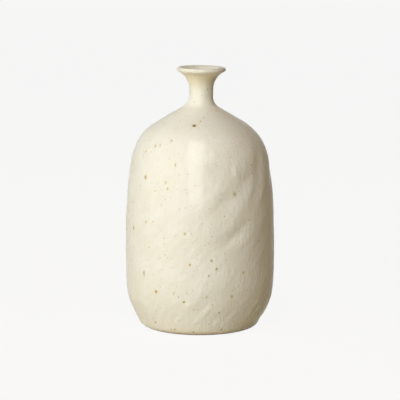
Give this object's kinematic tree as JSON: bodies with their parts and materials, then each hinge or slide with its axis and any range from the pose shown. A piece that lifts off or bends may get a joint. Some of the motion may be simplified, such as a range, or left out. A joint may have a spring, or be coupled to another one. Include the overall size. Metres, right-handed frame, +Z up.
{
  "type": "bottle vase",
  "caption": "Free-standing stoneware bottle vase with a barrel body, domed shoulder, thin neck and small flared lip, hollow to hold water and flower stems.",
  "frame": {"origin": "centre of the foot, on the surface that the vase stands on", "axes": "+Z up along the vase's axis, out of its mouth; the picture looks along +Y"},
  "size_m": [0.1264, 0.1264, 0.22],
  "materials": {
    "stoneware": "bare fired stoneware, fine grained",
    "cream_glaze": "satin cream glaze with scattered iron specks",
    "liner_glaze": "satin cream liner glaze"
  },
  "bodies": {
    "root": {"base_slab": "stoneware", "body_wall": "stoneware", "shoulder": "stoneware", "neck": "stoneware", "outer_glaze": "cream_glaze", "inner_glaze": "liner_glaze"}
  },
  "joints": []
}
